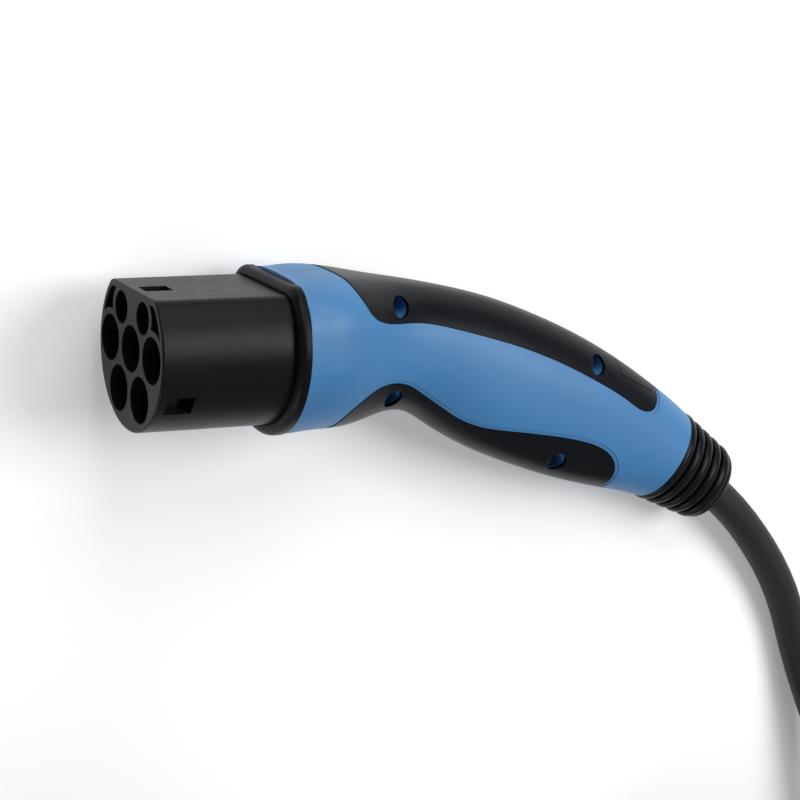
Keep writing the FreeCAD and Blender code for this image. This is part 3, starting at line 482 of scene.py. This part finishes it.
class CHARGING_OT_cable(bpy.types.Operator):
    """Lays the cable from the connector through its coil to the plug, with its ties and sheath ends"""

    bl_idname = "charging.cable"
    bl_label = "Cable and coil"

    def execute(self, context):
        curve = bpy.data.curves.new("charging_cable", "CURVE")
        curve.dimensions = "3D"
        curve.bevel_depth = CABLE_DIAMETER / 2
        curve.bevel_resolution = sizes().jacket_segments
        curve.resolution_u = CURVE_STEPS
        curve.use_fill_caps = True
        line = curve.splines.new("NURBS")
        points = LEAD + coil_points() + TAIL
        line.points.add(len(points) - 1)
        for point, place in zip(line.points, points):
            point.co = (*place, 1)
        line.order_u = 3
        line.use_endpoint_u = True
        cable = bpy.data.objects.new("charging_cable", curve)
        context.scene.collection.objects.link(cable)
        curve.materials.append(jacket("Cable jacket", colours().jacket_grey))
        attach(cable, "root")
        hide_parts("cable_lead", "cable_coil", "cable_tail")
        dress(["coil_ties"], woven_strap("Strap weave", STRAP_BLACK))
        sheath = jacket("Sheath end", colours().jacket_grey)
        dress(["cable_sheath_end", "plug_sheath_end"], sheath)
        return {"FINISHED"}


class CHARGING_OT_noses(bpy.types.Operator):
    """Finishes the nose, its collar and the plug's shroud"""

    bl_idname = "charging.noses"
    bl_label = "Nose and collar"

    def execute(self, context):
        grain = sizes().grain_size
        black = moulded_plastic(
            "Nose plastic", colours().nose_black, roughness=0.38, grain=grain, depth=0.00002, specular=0.12,
        )
        dress(["nose_housing", "plug_shroud"], black)
        darker = tinted(colours().nose_black, COLLAR_SHADE)
        collar = moulded_plastic(
            "Collar plastic", darker, roughness=0.4, grain=grain, depth=0.00001, specular=0.1,
        )
        dress(["front_collar"], collar)
        return {"FINISHED"}


class CHARGING_OT_handles(bpy.types.Operator):
    """Finishes the blue halves of both handles"""

    bl_idname = "charging.handles"
    bl_label = "Handle halves"

    def execute(self, context):
        grain = sizes().grain_size * HANDLE_GRAIN
        blue = moulded_plastic(
            "Handle plastic", colours().handle_blue, roughness=0.5, grain=grain, depth=0.00001,
        )
        halves = ["shell_left", "shell_right", "plug_shell_left", "plug_shell_right"]
        dress(halves, blue)
        return {"FINISHED"}


class CHARGING_OT_grips(bpy.types.Operator):
    """Finishes the rubber grips and boots"""

    bl_idname = "charging.grips"
    bl_label = "Grips and boots"

    def execute(self, context):
        grain = sizes().grain_size
        pads = soft_rubber(
            "Grip rubber", colours().grip_black, roughness=0.34, grain=grain, depth=0.00002, specular=0.11,
        )
        dress(named("grip_") + named("plug_grip_"), pads)
        boot = soft_rubber(
            "Boot rubber", colours().boot_black, roughness=0.3, grain=grain * BOOT_GRAIN, depth=0.00003,
            specular=0.1,
        )
        dress(["boot", "plug_boot"], boot)
        return {"FINISHED"}


class CHARGING_OT_contacts(bpy.types.Operator):
    """Finishes the contacts, pins and screws"""

    bl_idname = "charging.contacts"
    bl_label = "Contacts and screws"

    def execute(self, context):
        silver = plated_metal("Silver plating", SILVER, roughness=0.28)
        others = ["contact_neutral", "contact_earth", "contact_pilot", "contact_proximity"]
        dress(named("contact_line_") + others, silver)
        dress(["plug_power_pins", "plug_signal_pins"], silver)
        zinc = plated_metal("Zinc plating", ZINC, roughness=0.4)
        dress(["shell_screws", "retainer_screws", "cable_clamp_screws"], zinc)
        return {"FINISHED"}


class CHARGING_OT_inside(bpy.types.Operator):
    """Finishes the retainer, clamp, resistor and the insulated cores"""

    bl_idname = "charging.inside"
    bl_label = "Inner pieces"

    def execute(self, context):
        plain = moulded_plastic("Inner plastic", INNER_GREY, roughness=0.5, grain=0.0006, depth=0.00002)
        dress(["contact_retainer", "cable_clamp_lower", "cable_clamp_upper"], plain)
        lacquer = moulded_plastic(
            "Resistor lacquer", RESISTOR_BLUE, roughness=0.35, grain=0.0004, depth=0.00001,
        )
        dress(["coding_resistor"], lacquer)
        for core, (slot_name, colour) in INSULATION.items():
            cover = moulded_plastic(
                slot_name.replace("_", " "), colour, roughness=0.45, grain=0.0008, depth=0.00001,
            )
            dress([core], cover)
        return {"FINISHED"}


class CHARGING_PT_panel(bpy.types.Panel):
    """Lists the settings and the steps"""

    bl_idname = "CHARGING_PT_panel"
    bl_label = "Charging cable"
    bl_space_type = "VIEW_3D"
    bl_region_type = "UI"
    bl_category = "Charging cable"

    def draw(self, context):
        scene = context.scene
        for group in (scene.charging_sizes, scene.charging_colours, scene.charging_studio):
            box = self.layout.box()
            for name in group.__annotations__:
                box.prop(group, name)
        for operator in OPERATORS:
            self.layout.operator(operator.bl_idname)


GROUPS = {
    "charging_sizes": CableSizes,
    "charging_colours": CableColours,
    "charging_studio": StudioSettings,
}
OPERATORS = [
    CHARGING_OT_stage,
    CHARGING_OT_cable,
    CHARGING_OT_noses,
    CHARGING_OT_handles,
    CHARGING_OT_grips,
    CHARGING_OT_contacts,
    CHARGING_OT_inside,
]


def register():
    for group in GROUPS.values():
        bpy.utils.register_class(group)
    for name, group in GROUPS.items():
        setattr(bpy.types.Scene, name, PointerProperty(type=group))
    for kind in (*OPERATORS, CHARGING_PT_panel):
        bpy.utils.register_class(kind)


def unregister():
    for kind in (CHARGING_PT_panel, *reversed(OPERATORS)):
        bpy.utils.unregister_class(kind)
    for name in GROUPS:
        delattr(bpy.types.Scene, name)
    for group in GROUPS.values():
        bpy.utils.unregister_class(group)


def main():
    register()
    bpy.ops.charging.stage()
    bpy.ops.charging.cable()
    bpy.ops.charging.noses()
    bpy.ops.charging.handles()
    bpy.ops.charging.grips()
    bpy.ops.charging.contacts()
    bpy.ops.charging.inside()


if __name__ == "__main__":
    main()
